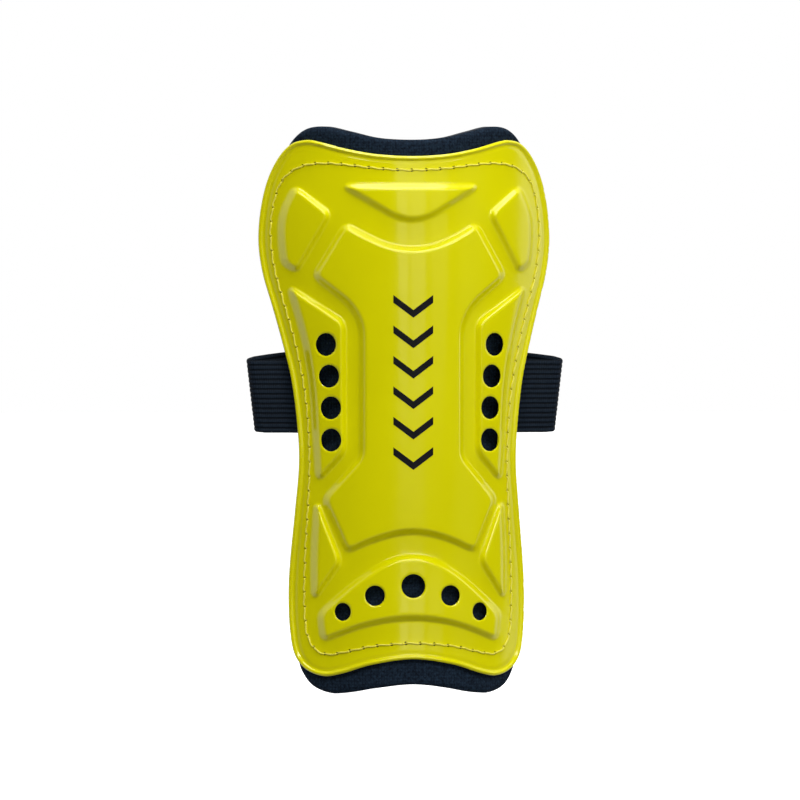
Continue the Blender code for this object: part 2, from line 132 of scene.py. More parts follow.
# Rim bead round the shell's edge
BEAD_HEIGHT, BEAD_WIDTH = 0.8, 1.7
BEAD_LINES = (0.2, 0.45, 0.85, 1.25, 1.5, 1.75, 2.1, 2.5, 3.0, 3.6)
VALLEY_DEPTH, VALLEY_AT, VALLEY_REACH = 0.25, 2.3, 0.7

# Tessellation of the shell and the pad: spacings of points, and distances of guide lines from their rings
SHELL_SPACING, PAD_SPACING, PAD_LINE_SPACING = 0.85, 2.2, 1.0
WALL_SPACING = 0.8 * SHELL_SPACING
WALL_LINES = np.linspace(-1.1, 1.1, 9) * WALL_HALF
PAD_EDGE_LINES = (0.2, 0.5, 0.9, 1.4, 2.2)
PAD_SEAM_LINES = (-3.0, -2.0, -1.2, -0.5, 0.0, 0.5, 1.2, 2.0, 3.0)
CURVE_STEPS, FINE_STEPS = 12, 6
# A guide line is cut where it strays this far from parallel, or comes this near to a hole
PARALLEL_ERROR, HOLE_CLEAR = 0.12, 0.15
# Clearances as shares of the spacing: line points from each other, from the outlines' points and from the
# outline, then grid points from all of those and from the outline
LINE_SHARE, FIXED_SHARE, RIM_SHARE, GRID_SHARE, GRID_RIM_SHARE = 0.25, 0.3, 0.15, 0.4, 0.6
# A triangle's centre may lie this share of the radius inside a hole
HOLE_SLACK = 0.02
MERGE_DISTANCE = 1e-6
# Points tested against a ring at a time
CHUNK = 4000

# Lockstitch round the edge
STITCH_PITCH = 5.8
SEAM_SPACING = 0.5
NEEDLE_HOLE, NEEDLE_SIDES = 0.7, 10

# Elastic strap
STRAP_WIDTH = 29.2
STRAP_THICK = 1.2
RIB_COUNT, RIB_SAMPLES = 15, 8
RIB_DEPTH, RIB_ROUND = 0.24, 0.55
SELVEDGE_THIN, SELVEDGE_REACH = 0.55, 1.2
STRIP_V = np.linspace(-STRAP_WIDTH / 2, STRAP_WIDTH / 2, RIB_COUNT * RIB_SAMPLES + 1)
RUN_ROWS, BAND_START, BAND_STEP, TAB_STEP = 26, 0.6, 1.2, 0.6
SEWN_END_X = 37.0
POCKET_X, POCKET_Z, POCKET_RAMP = 35.0, 16.0, 8.0
POCKET_DEPTH = 1.8
HINGE_X, HINGE_Y = [abs(v) / MM for v in JOINTS["strap_right_swing"]["pos_m"][:2]]
FOLD_RADIUS = 3.0
FOLD_TILT = math.radians(6.5)
FOLD_RISE = 1.6
CLOSURE_HALF, CLOSURE_Y, CLOSURE_Z = 22.0, 36.0, 4.3
PIECE_GAP = 0.3

# Hook-and-loop closure
PATCH_THICK = 0.8
LAYER_STEP = STRAP_THICK + 2 * PATCH_THICK + 3 * PIECE_GAP
TAB_ROOT_X, TAB_END_X, LOOP_END_X = -12.3, 22.0, -14.0
TAB_BEND = 4.5
HOOK_X = (-7.0, 20.0)
LOOP_X = (-12.0, 20.5)
PATCH_WIDTH = 25.0
STITCH_MARGIN = 2.0
BOX_STITCH_PITCH = 2.8


# ---- the curved base surface ----

def smoothstep(t):
    t = np.clip(t, 0.0, 1.0)
    return t * t * (3.0 - 2.0 * t)


def section_p(z):
    return SECTION_P + SECTION_TAPER * z


def lean(z):
    back = np.clip((z - TOP_LEAN_FROM) / (TOP_END - TOP_LEAN_FROM), 0.0, None) ** 2
    kick = np.clip((z - ANKLE_KICK_FROM) / (ANKLE_END - ANKLE_KICK_FROM), 0.0, None) ** 2
    return TOP_LEAN * back - ANKLE_KICK * kick


def pocket(x, z):
    """How far the pad is pushed in by the strap's sewn ends."""
    across = smoothstep((np.abs(x) - POCKET_X + POCKET_RAMP) / POCKET_RAMP)
    along = smoothstep((POCKET_Z + POCKET_RAMP - np.abs(z)) / POCKET_RAMP)
    return POCKET_DEPTH * across * along


def surface(x, z, n):
    """Point at distance n outside the shell's base surface, above the plan point (x, z)."""
    x, z = np.broadcast_arrays(x, z)
    p = section_p(z)
    length = np.sqrt(1.0 + (x / p) ** 2)
    y = -PAD_DEPTH + x * x / (2.0 * p) + lean(z)
    return np.stack([x + n * (x / p) / length, y - n / length, z], axis=-1)


def unit(vectors):
    return vectors / np.linalg.norm(vectors, axis=-1)[..., None]


def run_along(points):
    """Length from the first point of an open line to each of its points."""
    return np.concatenate([[0.0], np.cumsum(np.linalg.norm(np.diff(points, axis=0), axis=1))])


# ---- plan outlines ----

def closed_outline(right_half):
    """The whole closed outline from its right half, which starts and ends on the centre line."""
    left_half = [(-x, z) for x, z in reversed(right_half[1:-1])]
    return np.array(list(right_half) + left_half, float)


def smooth_closed(points, steps):
    """Catmull-Rom curve through a closed ring of points."""
    before, after, second = np.roll(points, 1, 0), np.roll(points, -1, 0), np.roll(points, -2, 0)
    rows = []
    for t in np.arange(steps) / steps:
        rows.append(0.5 * (
            2 * points
            + (after - before) * t
            + (2 * before - 5 * points + 4 * after - second) * t ** 2
            + (3 * points - before - 3 * after + second) * t ** 3
        ))
    return np.stack(rows, axis=1).reshape(-1, 2)


def resampled(ring, spacing):
    """The closed ring with evenly spaced points."""
    closed = np.vstack([ring, ring[:1]])
    run = run_along(closed)
    count = max(8, round(run[-1] / spacing))
    at = np.arange(count) * run[-1] / count
    return np.stack([np.interp(at, run, closed[:, i]) for i in range(2)], axis=1)


def smooth_outline(right_half, spacing):
    """A smooth closed outline from its right half."""
    return resampled(smooth_closed(closed_outline(right_half), CURVE_STEPS), spacing)


def softened(ring, radius, steps=8):
    """The ring with each sharp corner rounded, and each shallow one smoothed over its whole length."""
    points = []
    for before, here, after in zip(np.roll(ring, 1, 0), ring, np.roll(ring, -1, 0)):
        back, ahead = before - here, after - here
        back_length, ahead_length = np.linalg.norm(back), np.linalg.norm(ahead)
        turn = math.pi - math.acos(np.clip(back @ ahead / (back_length * ahead_length), -1, 1))
        shorter = min(back_length, ahead_length)
        cut = SHALLOW_SHARE * shorter if turn < SHALLOW_TURN else min(radius, CORNER_SHARE * shorter)
        start, end = here + back / back_length * cut, here + ahead / ahead_length * cut
        for t in np.linspace(0.0, 1.0, steps):
            points.append((1 - t) ** 2 * start + 2 * t * (1 - t) * here + t * t * end)
    return np.array(points)


def inside(points, ring):
    """Even-odd test of many points against one ring."""
    x, z = points[:, 0:1], points[:, 1:2]
    ax, az = ring[:, 0], ring[:, 1]
    bx, bz = np.roll(ax, -1), np.roll(az, -1)
    crosses = (az > z) != (bz > z)
    rise = np.where(bz == az, 1.0, bz - az)
    return (crosses & (x < ax + (z - az) / rise * (bx - ax))).sum(1) % 2 == 1


def inside_by_parts(points, ring):
    return np.concatenate([inside(points[i:i + CHUNK], ring) for i in range(0, len(points), CHUNK)])


def signed_distance(points, ring):
    """Distance to the ring, positive inside it."""
    span = np.roll(ring, -1, 0) - ring
    square = (span * span).sum(1)
    result = np.empty(len(points))
    for first in range(0, len(points), CHUNK):
        part = points[first:first + CHUNK]
        rel = part[:, None, :] - ring[None]
        t = np.clip((rel * span).sum(2) / square, 0.0, 1.0)
        near = np.linalg.norm(rel - t[..., None] * span, axis=2).min(1)
        result[first:first + CHUNK] = np.where(inside(part, ring), near, -near)
    return result


def signed_area(ring):
    after = np.roll(ring, -1, 0)
    return 0.5 * (ring[:, 0] * after[:, 1] - after[:, 0] * ring[:, 1]).sum()


def inward_normals(ring):
    along = unit(np.roll(ring, -1, 0) - np.roll(ring, 1, 0))
    inward = np.stack([-along[:, 1], along[:, 0]], axis=1)
    return inward if signed_area(ring) > 0 else -inward


def all_lines(parts):
    """Several sets of points and edges as one."""
    points, edges, first = [], [], 0
    for part_points, part_edges in parts:
        points.append(part_points)
        edges.append(part_edges + first)
        first += len(part_points)
    return np.concatenate(points), np.concatenate(edges)


def kept_lines(lines, keep):
    """The points that are kept, and the edges between them."""
    points, edges = lines
    number = np.cumsum(keep) - 1
    return points[keep], number[edges[keep[edges].all(1)]]


def closed_line(ring):
    """A ring as points and edges."""
    here = np.arange(len(ring))
    return ring, np.stack([here, np.roll(here, -1)], axis=1)


def parallel_lines(ring, distances, spacing):
    """Lines parallel to a smooth ring, left open where a line would cross itself."""
    fine = resampled(ring, spacing / FINE_STEPS)
    normals = inward_normals(fine)
    lines = []
    for distance in distances:
        moved = resampled(fine + distance * normals, spacing)
        keep = np.abs(signed_distance(moved, fine) - distance) < PARALLEL_ERROR
        lines.append(kept_lines(closed_line(moved), keep))
    return all_lines(lines)


SHELL_OUTLINE = smooth_outline(SHELL_HALF, SHELL_SPACING)
PAD_OUTLINE = smooth_outline(PAD_HALF, PAD_LINE_SPACING)
SEAM = smooth_outline(SEAM_HALF, SEAM_SPACING)

# Each panel's smooth ring, its height, and whether it is mirrored: a mirrored one is tested on |x|
PANELS = [(softened(np.array(ring, float), CORNER), height, mirrored) for ring, height, mirrored in (
    (CHEVRON, CHEVRON_HEIGHT, False),
    (closed_outline(SHIELD_HALF), SHIELD_HEIGHT, False),
    (closed_outline(LENS_HALF), LENS_HEIGHT, False),
    (WING, WING_HEIGHT, True),
    (SIDE_PANEL, SIDE_HEIGHT, True),
    (WEDGE, WEDGE_HEIGHT, True),
)]


def relief(plan):
    """Height of the raised panels above the base surface, measured towards the front."""
    height = np.zeros(len(plan))
    for ring, panel_height, mirror in PANELS:
        points = np.stack([np.abs(plan[:, 0]), plan[:, 1]], axis=1) if mirror else plan
        near = ((points > ring.min(0) - 2 * WALL_HALF) & (points < ring.max(0) + 2 * WALL_HALF)).all(1)
        rise = (signed_distance(points[near], ring) + WALL_HALF) / (2.0 * WALL_HALF)
        height[near] = np.maximum(height[near], panel_height * smoothstep(rise))
    return height


def all_vents():
    vents = [*SIDE_VENTS, *ANKLE_VENTS]
    return vents + [(-x, z, radius) for x, z, radius in vents if x]


def narrowing(x, z):
    """Width in plan of a length of 1 across the curved surface."""
    return 1.0 / math.hypot(1.0, x / section_p(z))


def round_hole(x, z, radius, sides):
    """A hole punched from the front, round on the curved surface and so narrower in plan on the flanks."""
    turn = np.arange(sides) * 2 * math.pi / sides
    return np.stack([x + narrowing(x, z) * radius * np.cos(turn), z + radius * np.sin(turn)], axis=1)


def hole_distance(plan, x, z, radius):
    """Distance outside one round hole's edge."""
    return np.hypot((plan[:, 0] - x) / narrowing(x, z), plan[:, 1] - z) - radius


# ---- meshes ----

def first_in_cell(points, size):
    """True for one point in each small square of the plan."""
    _, first = np.unique(np.floor(points / size).astype(int), axis=0, return_index=True)
    keep = np.zeros(len(points), bool)
    keep[first] = True
    return keep


def clear_of(points, others, size):
    """True for the points whose square of the plan, and its neighbours, hold none of the others."""
    shifts = np.array([(i, j) for i in (-1, 0, 1) for j in (-1, 0, 1)])
    taken = np.floor(others / size).astype(int)[:, None] + shifts[None]
    taken = set(map(tuple, taken.reshape(-1, 2).tolist()))
    return np.array([tuple(cell) not in taken for cell in np.floor(points / size).astype(int).tolist()])


def staggered_grid(outline, spacing):
    low, high = outline.min(0), outline.max(0)
    rise = spacing * math.sqrt(3) / 2
    rows = []
    for i, z in enumerate(np.arange(low[1], high[1], rise)):
        xs = np.arange(low[0] + (i % 2) * spacing / 2, high[0], spacing)
        rows.append(np.stack([xs, np.full(len(xs), z)], axis=1))
    grid = np.concatenate(rows)
    return grid[signed_distance(grid, outline) > GRID_RIM_SHARE * spacing]


def plan_mesh(outline, holes, lines, spacing):
    """Plan points and triangles inside the outline: holes are open, and edges follow the lines."""
    rings = all_lines(map(closed_line, [outline, *[round_hole(*hole) for hole in holes]]))
    fixed = rings[0]
    keep = first_in_cell(lines[0], LINE_SHARE * spacing)
    keep &= clear_of(lines[0], fixed, FIXED_SHARE * spacing)
    keep &= signed_distance(lines[0], outline) > RIM_SHARE * spacing
    for x, z, radius, _ in holes:
        keep &= hole_distance(lines[0], x, z, radius) > HOLE_CLEAR
    fixed, edges = all_lines([rings, kept_lines(lines, keep)])
    grid = staggered_grid(outline, spacing)
    points = np.concatenate([fixed, grid[clear_of(grid, fixed, GRID_SHARE * spacing)]])
    plan, _, faces, *_ = delaunay_2d_cdt([Vector(p) for p in points], edges.tolist(), [], 0, MERGE_DISTANCE)
    plan, faces = np.array([tuple(p) for p in plan]), np.array([tuple(f) for f in faces])
    centre = plan[faces].mean(1)
    keep = inside_by_parts(centre, outline)
    for x, z, radius, _ in holes:
        keep &= hole_distance(centre, x, z, radius) > -HOLE_SLACK * radius
    faces = faces[keep]
    used = np.unique(faces)
    renumber = np.full(len(plan), -1)
    renumber[used] = np.arange(len(used))
    return plan[used], renumber[faces]


def add_object(name, data):
    obj = bpy.data.objects.new(name, data)
    bpy.context.scene.collection.objects.link(obj)
    return obj


def make_mesh(name, points, faces, material, sharp):
    """An object from points in millimetres, smooth but for edges sharper than an angle in degrees."""
    mesh = bpy.data.meshes.new(name)
    mesh.from_pydata((np.asarray(points) * MM).tolist(), [], [list(map(int, f)) for f in faces])
    mesh.update()
    mesh.shade_smooth()
    mesh.set_sharp_from_angle(angle=math.radians(sharp))
    mesh.materials.append(material)
    return add_object(name, mesh)


def boundary_edges(faces):
    """Edges with one face only, in that face's direction."""
    edges = np.concatenate([faces[:, [0, 1]], faces[:, [1, 2]], faces[:, [2, 0]]])
    key = edges.min(1) * (faces.max() + 1) + edges.max(1)
    _, first, count = np.unique(key, return_index=True, return_counts=True)
    return edges[first[count == 1]]


def make_slab(name, faces, front, back, material):
    """A closed sheet between its front and back points, which share one triangulation."""
    count = len(front)
    sides = [(a, a + count, b + count, b) for a, b in boundary_edges(faces)]
    every = [*faces.tolist(), *(faces[:, ::-1] + count).tolist(), *sides]
    return make_mesh(name, np.concatenate([front, back]), every, material, sharp=50)


def grid_slab_faces(rows, columns, first=0):
    """Faces of a closed slab: one grid of points from the first on, then a second grid behind it."""
    half = rows * columns
    faces = []
    for i in range(rows - 1):
        for a in range(first + i * columns, first + (i + 1) * columns - 1):
            b = a + half
            faces += [(a, a + columns, a + columns + 1, a + 1), (b, b + 1, b + columns + 1, b + columns)]
    rim = [i * columns for i in range(rows)]
    rim += [(rows - 1) * columns + j for j in range(1, columns)]
    rim += [i * columns + columns - 1 for i in range(rows - 2, -1, -1)]
    rim += list(range(columns - 2, 0, -1))
    rim = [first + a for a in rim]
    return faces + [(a, a + half, b + half, b) for a, b in zip(rim, rim[1:] + rim[:1])]


def surface_normals(points, faces):
    """Unit normals at the points, from the faces round them."""
    cross = np.cross(points[faces[:, 1]] - points[faces[:, 0]], points[faces[:, 2]] - points[faces[:, 0]])
    normals = np.zeros_like(points)
    for i in range(3):
        np.add.at(normals, faces[:, i], cross)
    return unit(normals)


def finish_piece(obj, body, slot, *nodes):
    """The piece rides on its body and stands for its CAD nodes."""
    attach(obj, body)
    if nodes:
        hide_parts(*nodes)


# ---- seam line ----

def seam_stations():
    """Arc length along the seam on the curved surface, as a share of the whole, and the stitch count."""
    on_surface = surface(SEAM[:, 0], SEAM[:, 1], 0.0)
    run = run_along(np.vstack([on_surface, on_surface[:1]]))
    return run / run[-1], round(run[-1] / STITCH_PITCH)


SEAM_SHARE, STITCH_COUNT = seam_stations()


def seam_plan(share):
    """Plan point of the seam at a share of its length."""
    closed = np.vstack([SEAM, SEAM[:1]])
    return np.stack([np.interp(share % 1.0, SEAM_SHARE, closed[:, i]) for i in range(2)], axis=-1)


# ---- shell ----

def shell_lines():
    """Lines along the rim bead, the panels' walls and the vents' edges, so that their curves are clean."""
    parts = [parallel_lines(SHELL_OUTLINE, BEAD_LINES, SHELL_SPACING)]
    for ring, _, mirror in PANELS:
        points, edges = parallel_lines(ring, WALL_LINES, WALL_SPACING)
        parts.append((points, edges))
        if mirror:
            parts.append((points * (-1, 1), edges))
    for x, z, radius in all_vents():
        parts += [closed_line(round_hole(x, z, radius + step, VENT_SIDES)) for step in VENT_LINES]
    return all_lines(parts)


def make_shell(material):
    vents = [(x, z, radius, VENT_SIDES) for x, z, radius in all_vents()]
    needle = seam_plan(np.arange(STITCH_COUNT) / STITCH_COUNT)
    holes = vents + [(x, z, NEEDLE_HOLE, NEEDLE_SIDES) for x, z in needle]
    plan, faces = plan_mesh(SHELL_OUTLINE, holes, shell_lines(), SHELL_SPACING)
    edge = signed_distance(plan, SHELL_OUTLINE)
    bead = BEAD_HEIGHT * np.clip(1.0 - ((edge - BEAD_WIDTH / 2) / (BEAD_WIDTH / 2)) ** 2, 0.0, 1.0)
    lift = bead - VALLEY_DEPTH * np.exp(-((edge - VALLEY_AT) / VALLEY_REACH) ** 2)
    outer = surface(plan[:, 0], plan[:, 1], lift)
    rolled, by_vent = np.zeros(len(plan)), np.zeros(len(plan))
    for x, z, radius, _ in vents:
        away = np.clip(hole_distance(plan, x, z, radius), 0.0, None)
        rolled = np.maximum(rolled, VENT_ROLL * np.clip(1.0 - away / VENT_ROLL_REACH, 0.0, 1.0) ** 2)
        by_vent = np.maximum(by_vent, smoothstep(2.0 - away / VENT_WALL_REACH))
    outer[:, 1] -= relief(plan) - rolled
    punched = np.zeros_like(outer)
    punched[:, 1] = -np.hypot(1.0, plan[:, 0] / section_p(plan[:, 1]))
    through = by_vent[:, None] * punched + (1.0 - by_vent[:, None]) * surface_normals(outer, faces)
    inner = outer - SHELL_THICK * through
    shell = make_slab("shell_formed", faces, outer, inner, material)
    finish_piece(shell, "guard", "yellow_plastic", "shell")


# ---- printed marks ----

MARK_COUNT, MARK_COLUMNS = 6, 41
MARK_HALF, MARK_RISE, MARK_STROKE = 8.0, 6.0, 3.1
MARK_TOP, MARK_BOTTOM = 41.0, -29.0
INK_LIFT, INK_THICK = 0.05, 0.03


def make_marks(material):
    """A plain column of chevrons in ink on the shield."""
    columns = np.linspace(-MARK_HALF, MARK_HALF, MARK_COLUMNS)
    drop = MARK_RISE * (1.0 - np.abs(columns) / MARK_HALF)
    x = np.repeat(columns[:, None], 2, axis=1)
    points, faces = [], []
    for top in np.linspace(MARK_TOP, MARK_BOTTOM + MARK_RISE + MARK_STROKE, MARK_COUNT):
        z = top - np.stack([drop, drop + MARK_STROKE], axis=1)
        faces += grid_slab_faces(MARK_COLUMNS, 2, sum(map(len, points)))
        for lift in (INK_LIFT, INK_LIFT + INK_THICK):
            layer = surface(x, z, lift)
            layer[..., 1] -= SHIELD_HEIGHT
            points.append(layer.reshape(-1, 3))
    marks = make_mesh("printed_marks", np.concatenate(points), faces, material, sharp=40)
    finish_piece(marks, "guard", "black_ink")


# ---- pad: foam between two knits ----

EDGE_ROUND = 1.3
PINCH_DEPTH, PINCH_REACH = 1.5, 1.9
PUFF, PUFF_REACH = 0.45, 3.0
FOAM_INSET = 0.04


def edge_round(edge, radius):
    """How far a rounded edge has fallen away at a distance from the outline."""
    inward = np.clip(edge, 0.0, radius)
    return radius - np.sqrt(radius ** 2 - (radius - inward) ** 2)


def make_pad(face_knit, foam, lining_knit):
    """The pad's three layers, which share one plan mesh."""
    edge_lines = parallel_lines(PAD_OUTLINE, PAD_EDGE_LINES, PAD_LINE_SPACING)
    seam_lines = parallel_lines(SEAM, PAD_SEAM_LINES, PAD_LINE_SPACING)
    plan, faces = plan_mesh(PAD_OUTLINE, [], all_lines([edge_lines, seam_lines]), PAD_SPACING)
    x, z = plan.T
    fall = edge_round(signed_distance(plan, PAD_OUTLINE), EDGE_ROUND)
    groove = PINCH_DEPTH * np.exp(-(signed_distance(plan, SEAM) / PINCH_REACH) ** 2)
    beyond = smoothstep(-signed_distance(plan, SHELL_OUTLINE) / PUFF_REACH)
    push = pocket(x, z)
    face_front = FACE_N + PUFF * beyond - fall - push
    face_back = face_front - FABRIC_THICK
    lining_back = -PAD_DEPTH + groove + fall - push
    lining_front = lining_back + FABRIC_THICK
    foam_front, foam_back = face_back - FOAM_INSET, lining_front + FOAM_INSET
    for name, front, back, material, slot, node, cut_n in (
        ("pad_face_knit", face_front, face_back, face_knit, "navy_knit", "face_fabric", FACE_N),
        ("pad_foam_core", foam_front, foam_back, foam, "dark_foam", "foam_pad", None),
        ("pad_lining_knit", lining_front, lining_back, lining_knit, "navy_knit", "lining_fabric", LINING_N),
    ):
        layer = make_slab(name, faces, surface(x, z, front), surface(x, z, back), material)
        finish_piece(layer, "guard", slot, node)


# ---- stitches ----

THREAD_RADIUS, THREAD_SIDES, THREAD_RINGS = 0.3, 10, 31
THREAD_PLY, THREAD_TWIST = 0.16, 1.1
DIVE_SHARE = 0.12
SHARE_STEP = 0.0005


def make_stitches(name, place, count, length, material, dive=0.9, lift=0.3, slant=0.15):
    """A closed row of separate two-ply stitches. place(share, height, sideways) gives their points."""
    share = np.linspace(0.0, 1.0, THREAD_RINGS)
    rise = smoothstep(share / DIVE_SHARE) * smoothstep((1.0 - share) / DIVE_SHARE)
    height = -dive + (dive + lift) * rise
    sideways = slant * np.sin(2 * math.pi * share)
    turn = np.arange(THREAD_SIDES) * 2 * math.pi / THREAD_SIDES
    twist = 2 * math.pi * share * length / THREAD_TWIST
    radius = THREAD_RADIUS * (1.0 + THREAD_PLY * np.cos(2 * (turn[None] - twist[:, None])))
    points, faces = [], []
    for i in range(count):
        middle = place((i + share) / count, height, sideways)
        along = unit(np.gradient(middle, axis=0))
        side = unit(np.cross(place((i + share) / count, height + 1.0, sideways) - middle, along))
        up = np.cross(along, side)
        around = np.cos(turn)[None, :, None] * side[:, None] + np.sin(turn)[None, :, None] * up[:, None]
        points.append((middle[:, None] + radius[..., None] * around).reshape(-1, 3))
        faces += tube_faces(i * THREAD_RINGS * THREAD_SIDES, THREAD_RINGS, THREAD_SIDES)
    return make_mesh(name, np.concatenate(points), faces, material, sharp=70)


def tube_faces(first, rings, sides):
    """Faces of a closed tube made of rings of points."""
    faces = []
    for i in range(rings - 1):
        for j in range(sides):
            a, b = first + i * sides + j, first + i * sides + (j + 1) % sides
            faces.append((a, b, b + sides, a + sides))
    faces.append([first + j for j in reversed(range(sides))])
    faces.append([first + (rings - 1) * sides + j for j in range(sides)])
    return faces


def seam_place(on_lining):
    """Place function for the seam. Height is counted out of the shell's face, or of the pinched lining."""
    def place(share, height, sideways):
        ahead = unit(seam_plan(share + SHARE_STEP) - seam_plan(share - SHARE_STEP))
        x, z = (seam_plan(share) + np.stack([-ahead[:, 1], ahead[:, 0]], axis=1) * sideways[:, None]).T
        return surface(x, z, PINCH_DEPTH - PAD_DEPTH - pocket(x, z) - height if on_lining else height)
    return place


def make_seam(yellow, dark):
    row = STITCH_COUNT, STITCH_PITCH
    needle = make_stitches("seam_needle_thread", seam_place(False), *row, yellow)
    finish_piece(needle, "guard", "yellow_thread", "perimeter_needle_thread")
    bobbin = make_stitches("seam_bobbin_thread", seam_place(True), *row, dark, dive=0.5)
    finish_piece(bobbin, "guard", "dark_thread", "perimeter_bobbin_thread")


# ---- elastic webbing ----

def shell_half_width(z):
    """Half width of the shell at heights beside the strap."""
    right = SHELL_OUTLINE[(SHELL_OUTLINE[:, 0] > 0.0) & (np.abs(SHELL_OUTLINE[:, 1]) < STRAP_WIDTH)]
    order = np.argsort(right[:, 1])
    return np.interp(z, right[order, 1], right[order, 0])


def side_row(share, v):
    """Front run of the webbing, from the sewn end under the shell (0) to the start of the fold (1)."""
    edge = shell_half_width(v)
    end_x = HINGE_X + v * math.sin(FOLD_TILT)
    x = SEWN_END_X + share * (end_x - SEWN_END_X)
    mid_n = FACE_N - STRAP_THICK / 2 + LAYER_GAP - PIECE_GAP
    held = surface(np.minimum(x, edge), v, mid_n)
    past = np.clip((x - edge) / (end_x - edge), 0.0, 1.0)
    free = smoothstep(past)
    leaving = held[:, 1] + edge / section_p(v) * (x - edge) * (1.0 - free)
    y = leaving * (1.0 - free) + (HINGE_Y - FOLD_RADIUS) * free
    out_x = held[:, 0] + (end_x - held[:, 0]) * past
    return np.where((x <= edge)[:, None], held, np.stack([out_x, y, v], axis=1))


def fold_row(turn, v):
    """The fold: a half turn about the hinge line, from -90 to +90 degrees, that climbs as it goes round."""
    out = FOLD_RADIUS * math.cos(turn)
    v = v + FOLD_RISE * (0.5 + turn / math.pi)
    return np.stack([
        HINGE_X + out * math.cos(FOLD_TILT) + v * math.sin(FOLD_TILT),
        np.full_like(v, HINGE_Y + FOLD_RADIUS * math.sin(turn)),
        v * math.cos(FOLD_TILT) - out * math.sin(FOLD_TILT),
    ], axis=1)


def band_row(x, v, extra):
    """Rear run of the webbing behind the leg, at plan place x; extra lifts the outer layer."""
    share = np.clip((abs(x) - CLOSURE_HALF) / (HINGE_X - CLOSURE_HALF), 0.0, 1.0)
    crown = 1.0 - share ** 2
    tilt = FOLD_TILT * share
    y = HINGE_Y + FOLD_RADIUS + (CLOSURE_Y + extra - HINGE_Y - FOLD_RADIUS) * crown
    z = FOLD_RISE + (CLOSURE_Z - FOLD_RISE) * crown
    return np.stack([x + v * math.sin(tilt), np.full_like(v, y), z + v * math.cos(tilt)], axis=1)


def make_webbing(name, rows, side, material):
    """A ribbed strip from rows of mid-surface points; side -1 mirrors it to the left."""
    middle = np.array(rows)
    middle[..., 0] *= side
    normal = unit(np.cross(np.gradient(middle, axis=0), np.gradient(middle, axis=1)))
    phase = (STRIP_V + STRAP_WIDTH / 2) / STRAP_WIDTH * RIB_COUNT
    rib = np.abs(np.sin(math.pi * phase)) ** RIB_ROUND
    to_edge = STRAP_WIDTH / 2 - np.abs(STRIP_V)
    half = STRAP_THICK / 2 - RIB_DEPTH * (1.0 - rib)
    half = (half * np.clip(SELVEDGE_THIN + to_edge / SELVEDGE_REACH, 0.0, 1.0))[None, :, None] * normal
    points = np.concatenate([(middle + half).reshape(-1, 3), (middle - half).reshape(-1, 3)])
    obj = make_mesh(name, points, grid_slab_faces(*middle.shape[:2]), material, sharp=60)
    add_strip_uv(obj, run_along(middle[:, len(STRIP_V) // 2]))
    return obj


def add_strip_uv(obj, run):
    """UV in tenths of a metre: length along the strip, and place across it."""
    uv = np.stack(np.meshgrid(run, STRIP_V, indexing="ij"), axis=-1).reshape(-1, 2)
    uv = np.concatenate([uv, uv])
    layer = obj.data.uv_layers.new(name="strip")
    corner = np.zeros(len(obj.data.loops), int)
    obj.data.loops.foreach_get("vertex_index", corner)
    layer.data.foreach_set("uv", (uv[corner] * 0.01).astype(np.float32).ravel())


def band_rows(start, end, step, extra):
    """Rows of the rear run between two plan places; extra lifts the outer layer."""
    xs = np.linspace(start, end, max(2, round(abs(end - start) / step)))
    return [band_row(x, STRIP_V, extra) for x in xs]


def make_straps(webbing):
    front_rows = [side_row(share, STRIP_V) for share in np.linspace(0.0, 1.0, RUN_ROWS)]
    front_rows += [fold_row(turn, STRIP_V) for turn in np.linspace(-math.pi / 2, math.pi / 2, RUN_ROWS)[1:]]
    tab_from = TAB_BEND - TAB_ROOT_X
    for side, tag, extra, end in ((1, "right", 0.0, LOOP_END_X), (-1, "left", LAYER_STEP, tab_from)):
        rows = front_rows + band_rows(HINGE_X - BAND_START, end, BAND_STEP, extra)
        strap = make_webbing(f"strap_{tag}_webbing", rows, side, webbing)
        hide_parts(f"strap_{tag}_side", f"strap_{tag}_fold", f"strap_{tag}_band")
        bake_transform(strap)
    tab_rows = band_rows(tab_from, -TAB_END_X, TAB_STEP, LAYER_STEP)
    tab = make_webbing("strap_tab_webbing", tab_rows, -1, webbing)
    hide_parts("hook_tab")
    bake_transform(tab)


# ---- hook-and-loop patches ----

HOOK_PITCH, HOOK_BASE, HOOK_TALL = 1.25, 0.35, 0.75
HOOK_RADIUS, HOOK_CURL, HOOK_TURN = 0.11, 0.26, math.radians(200)
HOOK_SIDES, HOOK_BENDS, HOOK_SUNK = 6, 6, 0.05
HOOK_MARGINS = (1.6, 1.2, 1.4)
PILE_BASE, PILE_TALL, PILE_STEP = 0.35, 0.45, 0.4
PATCH_LIFT = 0.02


def box_patch(name, span, y_front, y_back, material, step=1.0, raised=None):
    """A flat patch between two depths; raised(x, z) lifts its front face towards +Y."""
    xs = np.linspace(*span, round((span[1] - span[0]) / step) + 1)
    zs = np.linspace(-PATCH_WIDTH / 2, PATCH_WIDTH / 2, round(PATCH_WIDTH / step) + 1) + CLOSURE_Z
    x, z = np.meshgrid(xs, zs, indexing="ij")
    front = np.full_like(x, y_front) + (raised(x, z) if raised else 0.0)
    layers = [np.stack([x, y, z], axis=-1).reshape(-1, 3) for y in (front, np.full_like(x, y_back))]
    faces = grid_slab_faces(*x.shape)
    if y_front > y_back:
        faces = [face[::-1] for face in faces]
    return make_mesh(name, np.concatenate(layers), faces, material, sharp=50)


